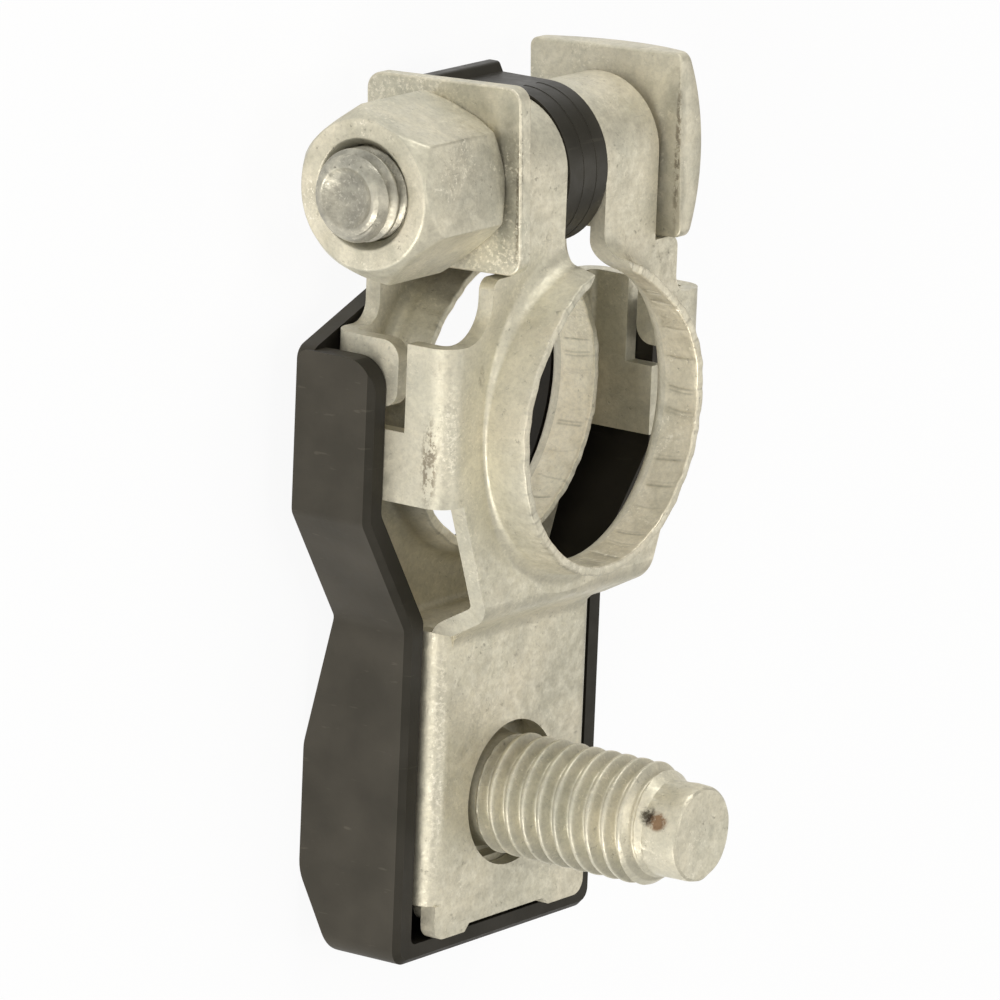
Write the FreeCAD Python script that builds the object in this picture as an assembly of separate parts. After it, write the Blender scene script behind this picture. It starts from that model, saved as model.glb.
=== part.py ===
import FreeCAD, Part
import math
import os

os.makedirs("parts", exist_ok=True)

V = FreeCAD.Vector

# Battery terminal clamp for a positive post, in millimetres.
# The post stands along Z through the origin and the clamp is lifted off it upwards, along +Z.
# The clamp bolt runs along X at the +Y end, with its nut on the -X side.
# The threaded stud for the cable lug stands at the -Y end and points up.
# Z is zero at the outer face of the front layer of the folded sheet.

# Folded sheet
sheet_t = 1.1
stack_h = 9.3
bend_r = 0.5
lap = 1.5
fold_share = 0.9999
corner_share = 0.95
post_r = 9.4
collar_h = 2.8
collar_draw_r = 1.5
collar_root_r = 0.9
collar_root_t = 1.0
bend_steps = 2
rim_t = 0.6
slit_w = 4.3
slit_mouth_half = 4.3
slit_flare_y = 9.3
slit_flare_r = 2.2

# Ears, folded over the clamp bolt
ear_y = 15.65
ear_w = 5.7
web_low_y = 8.6

# Outline of both layers
neck_half_left = 9.7
neck_half_right = 10.4
neck_top_y = 10.0
neck_top_back_y = 9.6
neck_corner_r = 0.8
neck_fillet_left = 2.6
neck_fillet_right = 1.3
shoulder_y = 6.1
wall_half = 14.0
wall_end_y = -4.15
hip_half = 11.9
relief_half = 12.3
waist_half = 9.2
waist_y = -11.2

# Side walls and the tabs that close them
wall_short = 3.3
back_wall_short = 3.9
wall_long = 6.0
wall_step_y = 0.4
tab_gap_y = 1.4
tab_gap_left = 0.65
tab_gap_right = 0.75
tab_corner_r = 1.2

# Front plate under the cable lug
joggle_start_y = -12.0
joggle_run = 2.1
joggle_drop = 3.85
joggle_bend_r = 0.5
joggle_foot_r = 1.4
plate_half = 8.4
plate_bend_r = 0.15
flange_top_y = -13.7
flange_end_y = -31.7
flange_depth = 4.2
flange_corner_r = 1.0
plate_end_y = -34.0
plate_recess = 0.5
plate_recess_half = 4.1
plate_corner_r = 1.0
layer_gap = 0.1
back_step_y = -14.6
back_side_gap = 0.2
back_end_y = -33.2
back_shoulder_top = 0.6
back_shoulder_low = 0.2

# Stud for the cable lug
stud_y = -25.6
stud_r = 4.0
stud_tip_z = 11.05
stud_hole_r = 4.75
dog_r = 3.12
dog_len = 3.15
dog_taper = 1.1
stud_square = 8.6
stud_square_r = 0.6
stud_root_r = 3.7
thread_low_z = -3.7
stud_head = 12.0
stud_head_t = 4.6
stud_head_corner_r = 0.8
stud_press = 0.02

# Clamp bolt, nut and washer
bolt_r = 3.0
bolt_y = 15.9
bolt_head = 11.9
head_gap = 0.6
head_edge_t = 0.9
head_crown_r = 14.5
head_corner_r = 0.6
bolt_end_past_nut = 1.7
bolt_chamfer = 0.5
end_dish_r = 2.2
end_dish_depth = 0.35
nut_af = 10.0
nut_sides = 6
nut_h = 8.4
nut_face_r = 4.75
nut_end_chamfer_deg = 60.0
nut_seat_chamfer_deg = 35.0
nut_turn_deg = 46.0
nut_bore_gap = 0.05
nut_sink_r = 3.45
washer_size = 11.9
washer_t = 1.15
washer_corner_r = 1.1
washer_bore_gap = 0.35
washer_lift = 0.1
square_turn_deg = -2.6
seat_gap = 0.06

# Spacer roller between the ears
roller_r = 5.2
roller_drop = 0.6
roller_side_gap = 0.1
roller_bore_gap = 0.08
roller_groove_w = 0.35
roller_groove_depth = 0.15
roller_grooves = 2
tail_t = 1.1
tail_reach = 4.0
bar_left = 5.0
bar_right = 2.1
bar_w = 1.0
bar_rise = 0.62
bar_edge_r = 0.3

# Insulating cover
cover_wall = 1.5
cover_end_wall = 1.25
cover_floor = 1.15
cover_side_gap = 0.1
cover_back_gap = 0.2
cover_end_gap = 0.15
cover_rim_z = -4.75
cover_top_y = 4.9
cover_horn_x = 6.9
cover_horn_y = 8.3
cover_low_half = 10.65
cover_kink_top_y = -5.6
cover_kink_low_y = -13.3
cover_hole_r = 10.4
cover_bulge = 2.05
cover_bulge_above_stud = 3.6
cover_bulge_below_stud = 4.8
cover_bulge_r = 3.0
cover_end_rise = 2.6
cover_corner_r = 1.2
cover_inner_corner_r = 0.5
cover_kink_r = 1.0
cover_kink_shift = 0.3
cover_back_kink_r = 2.0
cover_foot_r = 0.8
cover_top_corner_r = 2.0
cover_rim_bevel = 0.38
cover_horn_root = 3.0
cover_horn_low_r = 1.0
cover_horn_top_r = 0.3

# Places worked out from the sizes above
back_z = -stack_h
fold_r = stack_h / 2
fold_z = back_z / 2
ear_out = slit_w / 2 + ear_w
bend_out_r = bend_r + sheet_t
plate_z = -joggle_drop
back_plate_z = plate_z - 2 * sheet_t - layer_gap
back_plate_half = plate_half - sheet_t - back_side_gap
collar_base_r = post_r + collar_root_t + collar_root_r

# How far cutting forms run past what they cut
past = 1.0
reach = bolt_y - plate_end_y + stack_h


def rounded_wire(points, radii):
    """Closed wire through the points, with each corner turned into an arc of its own radius."""
    n = len(points)
    starts = []
    ends = []
    arcs = []
    for i in range(n):
        here = points[i]
        to_last = (points[i - 1] - here).normalize()
        to_next = (points[(i + 1) % n] - here).normalize()
        if radii[i] <= 0:
            starts.append(here)
            ends.append(here)
            arcs.append(None)
            continue
        half = to_last.getAngle(to_next) / 2
        middle = (to_last + to_next).normalize()
        centre = here + middle * (radii[i] / math.sin(half))
        cut = radii[i] / math.tan(half)
        starts.append(here + to_last * cut)
        ends.append(here + to_next * cut)
        arcs.append(centre - middle * radii[i])
    edges = []
    for i in range(n):
        if arcs[i] is not None:
            edges.append(Part.Arc(starts[i], arcs[i], ends[i]).toShape())
        nxt = starts[(i + 1) % n]
        if (nxt - ends[i]).Length > 1e-6:
            edges.append(Part.LineSegment(ends[i], nxt).toShape())
    return Part.Wire(edges)


def strip_points(path, t):
    """Corners of a sheet section: the path, and back along its parallel at distance t on the right."""
    normals = []
    for a, b in zip(path[:-1], path[1:]):
        length = math.hypot(b[0] - a[0], b[1] - a[1])
        normals.append(((b[1] - a[1]) / length, -(b[0] - a[0]) / length))
    other = [(path[0][0] + normals[0][0] * t, path[0][1] + normals[0][1] * t)]
    for i in range(1, len(path) - 1):
        m = (normals[i - 1][0] + normals[i][0], normals[i - 1][1] + normals[i][1])
        scale = 2 * t / (m[0] ** 2 + m[1] ** 2)
        other.append((path[i][0] + m[0] * scale, path[i][1] + m[1] * scale))
    other.append((path[-1][0] + normals[-1][0] * t, path[-1][1] + normals[-1][1] * t))
    return list(path) + other[::-1]


def in_xz(p, y):
    return V(p[0], y, p[1])


def in_yz(p, x):
    return V(x, p[0], p[1])


def in_xy(p, z):
    return V(p[0], p[1], z)


def prism(points, radii, way):
    """Solid swept from a rounded outline along a straight way."""
    return Part.Face(rounded_wire(points, radii)).extrude(way)


def turned_over(shape):
    """Half a turn about the Y line midway between the layers, as the fold has it."""
    other = shape.copy()
    other.rotate(V(0, 0, fold_z), V(0, 1, 0), 180)
    return other


def layer_flat(neck_y):
    """Flat of the front layer, with the wall on its -X side and the tab on its +X side."""
    inner = wall_half - bend_out_r
    tab_low = wall_step_y + tab_gap_y
    points = [
        (-neck_half_left, neck_y), (-neck_half_left, shoulder_y), (-inner, shoulder_y),
        (-inner, wall_end_y), (-hip_half, wall_end_y), (-waist_half, waist_y),
        (waist_half, waist_y), (hip_half, wall_end_y), (relief_half, wall_end_y), (relief_half, tab_low),
        (inner, tab_low), (inner, shoulder_y), (neck_half_right, shoulder_y), (neck_half_right, neck_y),
    ]
    radii = [0.0] * len(points)
    radii[0] = radii[-1] = neck_corner_r
    radii[1] = min(neck_fillet_left, (inner - neck_half_left) * corner_share)
    radii[-2] = min(neck_fillet_right, (inner - neck_half_right) * corner_share)
    flat = prism([in_xy(p, -sheet_t) for p in points], radii, V(0, 0, sheet_t))
    return flat.cut(Part.makeCylinder(collar_base_r, sheet_t, V(0, 0, -sheet_t)))


def folded_edge(sign, y_low, y_high, depth):
    """Right-angle fold from the front layer down the side at sign * wall_half."""
    side = sign * wall_half
    path = [(side - sign * (bend_out_r + sheet_t), 0.0), (side, 0.0), (side, -depth)]
    if sign < 0:
        path = path[::-1]
    section = strip_points(path, sheet_t)
    radii = [0.0, bend_out_r, 0.0, 0.0, bend_r, 0.0]
    return prism([in_xz(p, y_low) for p in section], radii, V(0, y_high - y_low, 0))


def side_wall(short):
    """Wall of the front layer: short beside the post bore's upper half, long below it."""
    wall = folded_edge(-1, wall_end_y, shoulder_y, wall_long)
    step = [
        (wall_step_y, -short), (shoulder_y + past, -short),
        (shoulder_y + past, -wall_long - past), (wall_step_y, -wall_long - past),
    ]
    return wall.cut(prism([in_yz(p, -reach) for p in step], [0.0] * 4, V(reach, 0, 0)))


def side_tab(facing_wall, gap):
    """Tab of the front layer that reaches down to just short of the back layer's wall."""
    y_low = wall_step_y + tab_gap_y
    depth = stack_h - facing_wall - gap
    tab = folded_edge(1, y_low, shoulder_y, depth)
    outline = [(y_low, past), (shoulder_y, past), (shoulder_y, -depth), (y_low, -depth)]
    r = min(tab_corner_r, (shoulder_y - y_low) / 2 * corner_share)
    return tab.common(prism([in_yz(p, 0) for p in outline], [0.0, 0.0, r, r], V(reach, 0, 0)))


def quarter(centre_x, centre_z, r, first_deg, last_deg):
    """Points along a quarter bend, close enough for a turned surface of short tapers."""
    points = []
    for k in range(bend_steps + 1):
        a = math.radians(first_deg + (last_deg - first_deg) * k / bend_steps)
        points.append((centre_x + r * math.cos(a), centre_z + r * math.sin(a)))
    return points


def collar(face_z):
    """Collar drawn up out of a layer whose upper face is at face_z, thinned towards its rim."""
    bottom = face_z - sheet_t
    entry = quarter(post_r + collar_draw_r, bottom + collar_draw_r, collar_draw_r, 270, 180)
    root = quarter(collar_base_r, face_z + collar_root_r, collar_root_r, 180, 270)
    rim_z = face_z + collar_h
    profile = [(collar_base_r, bottom)] + entry + [(post_r, rim_z), (post_r + rim_t, rim_z)] + root
    corners = [V(x, 0, z) for x, z in profile]
    return Part.Face(rounded_wire(corners, [0.0] * len(corners))).revolve(V(0, 0, 0), V(0, 0, 1), 360)


def ear_folds():
    """Both ears: one hairpin section over the bolt, cut away over the slit's width."""
    top = ear_y + fold_r
    section = strip_points([(web_low_y, back_z), (top, back_z), (top, 0.0), (web_low_y, 0.0)], -sheet_t)
    inner_r = fold_r - sheet_t
    radii = [0.0, fold_r, fold_r, 0.0, 0.0, inner_r, inner_r, 0.0]
    loop = [in_yz(p, -ear_out) for p in section]
    return prism(loop, [r * fold_share for r in radii], V(2 * ear_out, 0, 0))


def slit():
    """Space between the two ears, with round shoulders where it opens into the post bore."""
    half = slit_w / 2
    top = ear_y + 2 * fold_r
    mouth_y = math.sqrt(post_r ** 2 - slit_mouth_half ** 2)
    right = [(half, top), (half, slit_flare_y), (slit_mouth_half, mouth_y), (slit_mouth_half, 0)]
    left = [(-x, y) for x, y in right[::-1]]
    radii = [0.0, slit_flare_r, 0.0, 0.0]
    return prism([in_xy(p, -reach) for p in right + left], radii + radii[::-1], V(0, 0, 2 * reach))


def stepped_plate():
    """Front layer below the waist: stepped down, then flat to the end tabs."""
    path = [
        (waist_y + lap, 0.0), (joggle_start_y, 0.0), (joggle_start_y - joggle_run, plate_z),
        (plate_end_y - past, plate_z),
    ]
    section = strip_points(path, -sheet_t)
    top_r = joggle_bend_r + sheet_t
    foot_r = joggle_foot_r + sheet_t
    radii = [0.0, top_r, joggle_foot_r, 0.0, 0.0, foot_r, joggle_bend_r, 0.0]
    strip = prism([in_yz(p, -waist_half) for p in section], radii, V(2 * waist_half, 0, 0))
    flat_half = plate_half - plate_bend_r - sheet_t
    low = flange_top_y + plate_bend_r
    step = plate_end_y + plate_recess
    slope = plate_recess_half + plate_recess
    right = [
        (waist_half, waist_y + lap), (waist_half, waist_y), (plate_half, low),
        (plate_half, flange_top_y), (flat_half, flange_top_y), (flat_half, flange_end_y),
        (plate_half, flange_end_y), (plate_half, plate_end_y), (slope, plate_end_y),
        (plate_recess_half, step),
    ]
    left = [(-x, y) for x, y in right[::-1]]
    radii = [0.0, 0.0, 0.0, 0.0, 0.0, 0.0, 0.0, plate_corner_r, 0.0, 0.0]
    outline = prism([in_xy(p, -reach) for p in right + left], radii + radii[::-1], V(0, 0, 2 * reach))
    return strip.common(outline)


def plate_channel():
    """Flanges bent back along the plate's sides, past the back layer and beside the stud head."""
    foot_z = plate_z - flange_depth
    path = [(-plate_half, foot_z), (-plate_half, plate_z), (plate_half, plate_z), (plate_half, foot_z)]
    section = strip_points(path, sheet_t)
    outer = plate_bend_r + sheet_t
    radii = [0.0, outer, outer, 0.0, 0.0, plate_bend_r, plate_bend_r, 0.0]
    channel = prism([in_xz(p, flange_end_y) for p in section], radii, V(0, flange_top_y - flange_end_y, 0))
    outline = [
        (flange_top_y, plate_z + past), (flange_top_y, foot_z),
        (flange_end_y, foot_z), (flange_end_y, plate_z + past),
    ]
    radii = [0.0, flange_corner_r, flange_corner_r, 0.0]
    return channel.common(prism([in_yz(p, -reach) for p in outline], radii, V(2 * reach, 0, 0)))


def back_plate():
    """Back layer below the waist: stepped up between the flanges to lie behind the front plate."""
    path = [
        (back_end_y, back_plate_z), (back_step_y, back_plate_z),
        (back_step_y, back_z), (waist_y + lap, back_z),
    ]
    section = strip_points(path, -sheet_t)
    outer = bend_r + sheet_t
    radii = [0.0, bend_r, outer, 0.0, 0.0, bend_r, outer, 0.0]
    strip = prism([in_yz(p, -waist_half) for p in section], radii, V(2 * waist_half, 0, 0))
    right = [
        (waist_half, waist_y + lap), (waist_half, waist_y), (plate_half, back_step_y + back_shoulder_top),
        (back_plate_half, back_step_y + back_shoulder_low), (back_plate_half, back_end_y),
    ]
    left = [(-x, y) for x, y in right[::-1]]
    radii = [0.0, 0.0, 0.0, 0.0, plate_corner_r, plate_corner_r, 0.0, 0.0, 0.0, 0.0]
    return strip.common(prism([in_xy(p, -reach) for p in right + left], radii, V(0, 0, 2 * reach)))


def clamp_body():
    """The one folded sheet: two layers joined by the ears, each with a drawn collar."""
    front_sides = [side_wall(wall_short), side_tab(back_wall_short, tab_gap_right)]
    back_sides = [side_wall(back_wall_short), side_tab(wall_short, tab_gap_left)]
    front = layer_flat(neck_top_y).fuse(front_sides + [stepped_plate(), plate_channel()])
    back = turned_over(layer_flat(neck_top_back_y).fuse(back_sides)).fuse(back_plate())
    body = front.fuse([back, ear_folds()])
    body = body.cut(Part.makeCylinder(collar_base_r, stack_h + 2 * past, V(0, 0, back_z - past)))
    body = body.fuse([collar(0.0), collar(back_z + sheet_t)])
    body = body.cut(slit())
    under_plate = V(0, stud_y, plate_z - sheet_t - layer_gap / 2)
    body = body.cut(Part.makeCylinder(stud_hole_r, 2 * sheet_t, under_plate))
    square = square_bar(stud_square + 2 * stud_press, stud_square_r, back_plate_z, sheet_t + layer_gap / 2)
    square.translate(V(0, stud_y, 0))
    return body.cut(square).removeSplitter()


def turned_about_x(profile):
    """Solid of revolution about the X axis of a profile of (x, radius) points."""
    corners = [V(x, r, 0) for x, r in profile]
    return Part.Face(rounded_wire(corners, [0.0] * len(corners))).revolve(V(0, 0, 0), V(1, 0, 0), 360)


def square_head(width, corner_r, edge_t, crown_r):
    """Square head on +Z from the XY plane, crowned on its outer side."""
    h = width / 2
    corners = [(-h, -h), (h, -h), (h, h), (-h, h)]
    block = prism([in_xy(p, 0) for p in corners], [corner_r] * 4, V(0, 0, crown_r))
    rise = crown_r - math.sqrt(crown_r ** 2 - 2 * h * h)
    return block.common(Part.makeSphere(crown_r, V(0, 0, edge_t + rise - crown_r)))


def square_bar(width, corner_r, low, height):
    """Upright square bar on the Z axis, with round corners."""
    h = width / 2
    corners = [(-h, -h), (h, -h), (h, h), (-h, h)]
    return prism([in_xy(p, low) for p in corners], [corner_r] * 4, V(0, 0, height))


def terminal_stud():
    """Round stud with a plain point, a square neck in the back layer and a square head behind it."""
    thread_end = stud_tip_z - dog_len - dog_taper
    low = back_plate_z + sheet_t
    profile = [
        (0, low), (stud_root_r, low), (stud_r, thread_low_z), (stud_r, thread_end),
        (dog_r, stud_tip_z - dog_len), (dog_r, stud_tip_z), (0, stud_tip_z),
    ]
    face = Part.Face(rounded_wire([V(x, 0, z) for x, z in profile], [0.0] * len(profile)))
    shank = face.revolve(V(0, 0, 0), V(0, 0, 1), 360)
    neck = square_bar(stud_square, stud_square_r, back_plate_z, sheet_t)
    head = square_bar(stud_head, stud_head_corner_r, back_plate_z - stud_head_t, stud_head_t)
    stud = shank.fuse([neck, head]).removeSplitter()
    stud.translate(V(0, stud_y, 0))
    return stud


def clamp_bolt():
    """Bolt with a square crowned head, chamfered and dished at its far end."""
    head_x = ear_out + head_gap
    end_x = -(ear_out + washer_t + 2 * seat_gap + nut_h + bolt_end_past_nut)
    profile = [
        (end_x + end_dish_depth, 0), (end_x, end_dish_r), (end_x, bolt_r - bolt_chamfer),
        (end_x + bolt_chamfer, bolt_r), (head_x + head_edge_t / 2, bolt_r), (head_x + head_edge_t / 2, 0),
    ]
    shank = turned_about_x(profile)
    head = square_head(bolt_head, head_corner_r, head_edge_t, head_crown_r)
    head.rotate(V(0, 0, 0), V(0, 1, 0), 90)
    head.rotate(V(0, 0, 0), V(1, 0, 0), square_turn_deg)
    head.translate(V(head_x, 0, 0))
    bolt = shank.fuse(head).removeSplitter()
    bolt.translate(V(0, bolt_y, fold_z))
    return bolt


def clamp_nut():
    """Tall hexagon nut, chamfered at both ends and countersunk."""
    near = -(ear_out + washer_t + 2 * seat_gap)
    far = near - nut_h
    corner_r = nut_af / 2 / math.cos(math.pi / nut_sides)
    turns = [math.radians(nut_turn_deg) + math.tau * k / nut_sides for k in range(nut_sides)]
    hexagon = [V(far, corner_r * math.cos(a), corner_r * math.sin(a)) for a in turns]
    body = prism(hexagon, [0.0] * nut_sides, V(nut_h, 0, 0))
    wide_r = corner_r + past
    rise = wide_r - nut_face_r
    far_cone = rise * math.tan(math.radians(nut_end_chamfer_deg))
    near_cone = rise * math.tan(math.radians(nut_seat_chamfer_deg))
    outer = [
        (far, 0), (far, nut_face_r), (far + far_cone, wide_r), (near - near_cone, wide_r),
        (near, nut_face_r), (near, 0),
    ]
    bore_r = bolt_r + nut_bore_gap
    sink = nut_sink_r - bore_r
    bore = [
        (far - past, 0), (far - past, nut_sink_r + past), (far + sink, bore_r), (near - sink, bore_r),
        (near + past, nut_sink_r + past), (near + past, 0),
    ]
    nut = body.common(turned_about_x(outer)).cut(turned_about_x(bore))
    nut.translate(V(0, bolt_y, fold_z))
    return nut


def square_washer():
    """Square washer under the nut, its lower edge over the neck's shoulder so that it can't turn."""
    x = -(ear_out + seat_gap + washer_t)
    h = washer_size / 2
    corners = [(-h, -h), (h, -h), (h, h), (-h, h)]
    plate = prism([in_yz(p, x) for p in corners], [washer_corner_r] * 4, V(washer_t, 0, 0))
    plate.rotate(V(0, 0, 0), V(1, 0, 0), square_turn_deg)
    plate.translate(V(0, bolt_y + washer_lift, fold_z))
    bore_r = bolt_r + washer_bore_gap
    start = V(x - past, bolt_y + washer_lift, fold_z)
    return plate.cut(Part.makeCylinder(bore_r, washer_t + 2 * past, start, V(1, 0, 0)))


def ear_spacer():
    """Grooved roller that keeps the ears apart, with a tail to a cross bar behind them."""
    half = slit_w / 2 - roller_side_gap
    roller = Part.makeCylinder(roller_r, 2 * half, V(-half, 0, 0), V(1, 0, 0))
    pitch = 2 * half / (roller_grooves + 1)
    for k in range(roller_grooves):
        x = -half + (k + 1) * pitch - roller_groove_w / 2
        ring = Part.makeCylinder(roller_r + past, roller_groove_w, V(x, 0, 0), V(1, 0, 0))
        core = Part.makeCylinder(roller_r - roller_groove_depth, roller_groove_w, V(x, 0, 0), V(1, 0, 0))
        roller = roller.cut(ring.cut(core))
    end_z = -tail_reach - bar_w
    tail = Part.makeBox(2 * half, tail_t, tail_reach + bar_w, V(-half, roller_r - tail_t, end_z))
    section = [
        (roller_r - tail_t / 2, -tail_reach + bar_rise), (roller_r + bar_rise, -tail_reach),
        (roller_r + bar_rise, end_z), (roller_r - tail_t / 2, end_z),
    ]
    radii = [0.0, bar_edge_r, bar_edge_r, 0.0]
    bar = prism([in_yz(p, -bar_left) for p in section], radii, V(bar_left + bar_right, 0, 0))
    spacer = roller.fuse([tail, bar])
    bore_r = bolt_r + roller_bore_gap
    spacer = spacer.cut(Part.makeCylinder(bore_r, 4 * half, V(-2 * half, roller_drop, 0), V(1, 0, 0)))
    spacer.translate(V(0, bolt_y - roller_drop, fold_z))
    return spacer.removeSplitter()


def cover_back(lower):
    """Back line of the cover in the YZ plane, with its bulge behind the stud head, moved up by lower."""
    back = back_z - cover_back_gap - cover_floor
    bulge = back - cover_bulge
    end = cover_end_y()
    return [
        (cover_horn_y, back + lower), (cover_kink_low_y, back + lower),
        (stud_y + cover_bulge_above_stud, bulge + lower), (stud_y - cover_bulge_below_stud, bulge + lower),
        (end, bulge + cover_end_rise + lower),
    ]


def cover_end_y():
    return plate_end_y - cover_end_gap - cover_end_wall


def cover_outline(inset, end_inset, top_y):
    """Plan of the cover's walls: wide round the post, then drawn in to the plate's width."""
    wide = wall_half + cover_side_gap + cover_wall - inset
    low = cover_low_half - inset
    end = cover_end_y() + end_inset
    shift = inset * cover_kink_shift
    right = [(wide, top_y), (wide, cover_kink_top_y + shift), (low, cover_kink_low_y + shift), (low, end)]
    left = [(-x, y) for x, y in right[::-1]]
    return right + left


def cover_walls():
    """Outer form of the cover up to its rim, between its two end walls."""
    outline = cover_outline(0.0, 0.0, cover_top_y + cover_rim_bevel)
    radii = [0.0, cover_kink_r, cover_kink_r, cover_corner_r]
    radii += radii[::-1]
    form = prism([in_xy(p, cover_rim_z) for p in outline], radii, V(0, 0, -reach))
    rim = [edge for edge in form.Edges if edge.BoundBox.ZMin > cover_rim_z - cover_rim_bevel]
    form = form.makeChamfer(cover_rim_bevel, rim)
    side = cover_back(0.0) + [(cover_end_y(), cover_rim_z), (cover_top_y, cover_rim_z)]
    side[0] = (cover_top_y, side[0][1])
    radii = [
        cover_foot_r, cover_back_kink_r, cover_bulge_r, cover_bulge_r, cover_foot_r, 0.0, cover_top_corner_r,
    ]
    return form.common(prism([in_yz(p, -reach) for p in side], radii, V(2 * reach, 0, 0)))


def cover_cavity():
    """Space inside the cover, open at the rim and at the top."""
    top_y = cover_horn_y + past
    end_y = cover_end_y() - past
    outline = cover_outline(cover_wall, cover_end_wall, top_y)
    radii = [0.0, cover_kink_r, cover_kink_r, cover_inner_corner_r]
    form = prism([in_xy(p, -reach) for p in outline], radii + radii[::-1], V(0, 0, 2 * reach))
    side = cover_back(cover_floor) + [(end_y, cover_rim_z + past), (top_y, cover_rim_z + past)]
    side[0] = (top_y, side[0][1])
    side[4] = (end_y, side[4][1])
    radii = [0.0, cover_back_kink_r, cover_back_kink_r, cover_back_kink_r, 0.0, 0.0, 0.0]
    return form.common(prism([in_yz(p, -reach) for p in side], radii, V(2 * reach, 0, 0)))


def cover_horns():
    """Top of the cover's back, which slopes up from the side walls to the post opening."""
    wide = wall_half + cover_side_gap + cover_wall
    back = back_z - cover_back_gap - cover_floor
    right = [(wide, cover_top_y - cover_horn_root), (wide, cover_top_y), (cover_horn_x, cover_horn_y)]
    left = [(-x, y) for x, y in right[::-1]]
    radii = [0.0, cover_horn_low_r, cover_horn_top_r]
    return prism([in_xy(p, back) for p in right + left], radii + radii[::-1], V(0, 0, cover_floor))


def insulator_cover():
    """Moulded tray that snaps over the clamp's back, open at the post."""
    cover = cover_walls().cut(cover_cavity()).fuse(cover_horns())
    cover = cover.cut(Part.makeCylinder(cover_hole_r, stack_h, V(0, 0, back_z - stack_h + sheet_t)))
    return cover.removeSplitter()


nodes = {
    "clamp_body": clamp_body,
    "terminal_stud": terminal_stud,
    "clamp_bolt": clamp_bolt,
    "clamp_nut": clamp_nut,
    "square_washer": square_washer,
    "ear_spacer": ear_spacer,
    "insulator_cover": insulator_cover,
}

for name, make in nodes.items():
    shape = make()
    solids = shape.Solids
    box = shape.BoundBox
    low = [round(v, 2) for v in (box.XMin, box.YMin, box.ZMin)]
    high = [round(v, 2) for v in (box.XMax, box.YMax, box.ZMax)]
    print(name, "solids", len(solids), "volume", round(shape.Volume, 1), "valid", shape.isValid(), low, high)
    shape = solids[0] if len(solids) == 1 else Part.makeCompound(solids)
    shape.exportStep("parts/" + name + ".step")
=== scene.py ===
import bmesh
import bpy
import math
import random
from mathutils import Matrix, Vector, noise


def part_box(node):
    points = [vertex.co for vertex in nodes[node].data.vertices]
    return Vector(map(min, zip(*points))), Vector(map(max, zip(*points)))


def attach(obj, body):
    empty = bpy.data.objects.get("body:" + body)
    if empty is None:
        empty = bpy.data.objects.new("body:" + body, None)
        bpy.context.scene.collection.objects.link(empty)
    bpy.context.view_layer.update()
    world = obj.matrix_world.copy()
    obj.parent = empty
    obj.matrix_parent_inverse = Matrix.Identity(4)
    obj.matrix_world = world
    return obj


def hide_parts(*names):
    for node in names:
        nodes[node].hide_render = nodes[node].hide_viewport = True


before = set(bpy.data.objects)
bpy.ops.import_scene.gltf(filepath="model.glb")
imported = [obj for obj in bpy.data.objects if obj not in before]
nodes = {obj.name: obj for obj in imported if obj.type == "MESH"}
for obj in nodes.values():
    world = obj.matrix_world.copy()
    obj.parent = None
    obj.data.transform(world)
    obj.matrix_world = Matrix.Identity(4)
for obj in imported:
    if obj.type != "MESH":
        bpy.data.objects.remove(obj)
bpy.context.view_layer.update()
mm = 0.001

# Sizes of the solids, in millimetres
sheet_t = 1.1
back_face_z = -9.3
fold_z = back_face_z / 2
post_r = 9.4
collar_h = 2.8
entry_r = 1.5
root_t = 1.0
root_r = 0.9
rim_t = 0.6
slit_half = 2.15
mouth_half = 4.3
mouth_y = math.sqrt(post_r ** 2 - mouth_half ** 2)
flare_y = 9.3
flare_r = 2.2
plate_z = -3.85
back_plate_z = -6.15
plate_half = 8.4
plate_end_y = -34.0
flange_end_y = -31.7
stud_y = -25.6
stud_r = 4.0
stud_root_r = 3.7
thread_low_z = -3.7
point_r = 3.12
stud_tip_z = 11.05
stud_head = 12.0
stud_head_t = 4.6
stud_head_corner_r = 0.8
bolt_y = 15.9
bolt_r = 3.0
head_x = 8.45
bolt_end_x = -19.22
head_half = 5.95
head_corner_r = 0.6
head_edge_t = 0.9
head_crown_r = 14.5
square_turn = math.radians(-2.6)
nut_half = 5.0
nut_face_r = 4.75
nut_bore_gap = 0.05
spacer_y = 15.3
spacer_r = 5.2

# Sizes of the shown model alone, in millimetres
ring_r = 11.6
collar_columns = 900
collar_soft = 0.12
tab_inset = 0.5
tab_corner_r = 1.0
stud_pitch = 1.25
stud_thread_shift = 0.4
stud_groove_r = 3.75
thread_end_z = 7.3
point_z = 8.5
bolt_pitch = 1.0
thread_columns = 128
thread_gap = 0.02
dish_r = 1.93
dish_deep = 0.5
head_soft = 0.16
nut_columns = 480
nut_corner_r = 0.18
nut_sink_r = 3.5
nut_turn = math.radians(19.5)
nut_shift = (-0.25, -0.1)
groove_deep = 0.035
spacer_press = 0.92
rim_lift = 0.65
sheet_edge_w = 0.13
washer_edge_w = 0.14
spacer_edge_w = 0.16
cover_edge_w = 0.12
weld_gap = 0.003
floor_z = -12.75
past = 1.0


def finish_mesh(mesh, sharp_deg):
    mesh.shade_smooth()
    mesh.set_sharp_from_angle(angle=math.radians(sharp_deg))


def new_object(name, points, faces, sharp_deg=40):
    """Object from points in millimetres, in the row frame."""
    mesh = bpy.data.meshes.new(name)
    mesh.from_pydata([tuple(c * mm for c in p) for p in points], [], faces)
    mesh.validate()
    bm = bmesh.new()
    bm.from_mesh(mesh)
    bmesh.ops.recalc_face_normals(bm, faces=bm.faces)
    bm.to_mesh(mesh)
    bm.free()
    finish_mesh(mesh, sharp_deg)
    obj = bpy.data.objects.new(name, mesh)
    bpy.context.collection.objects.link(obj)
    return obj


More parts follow.
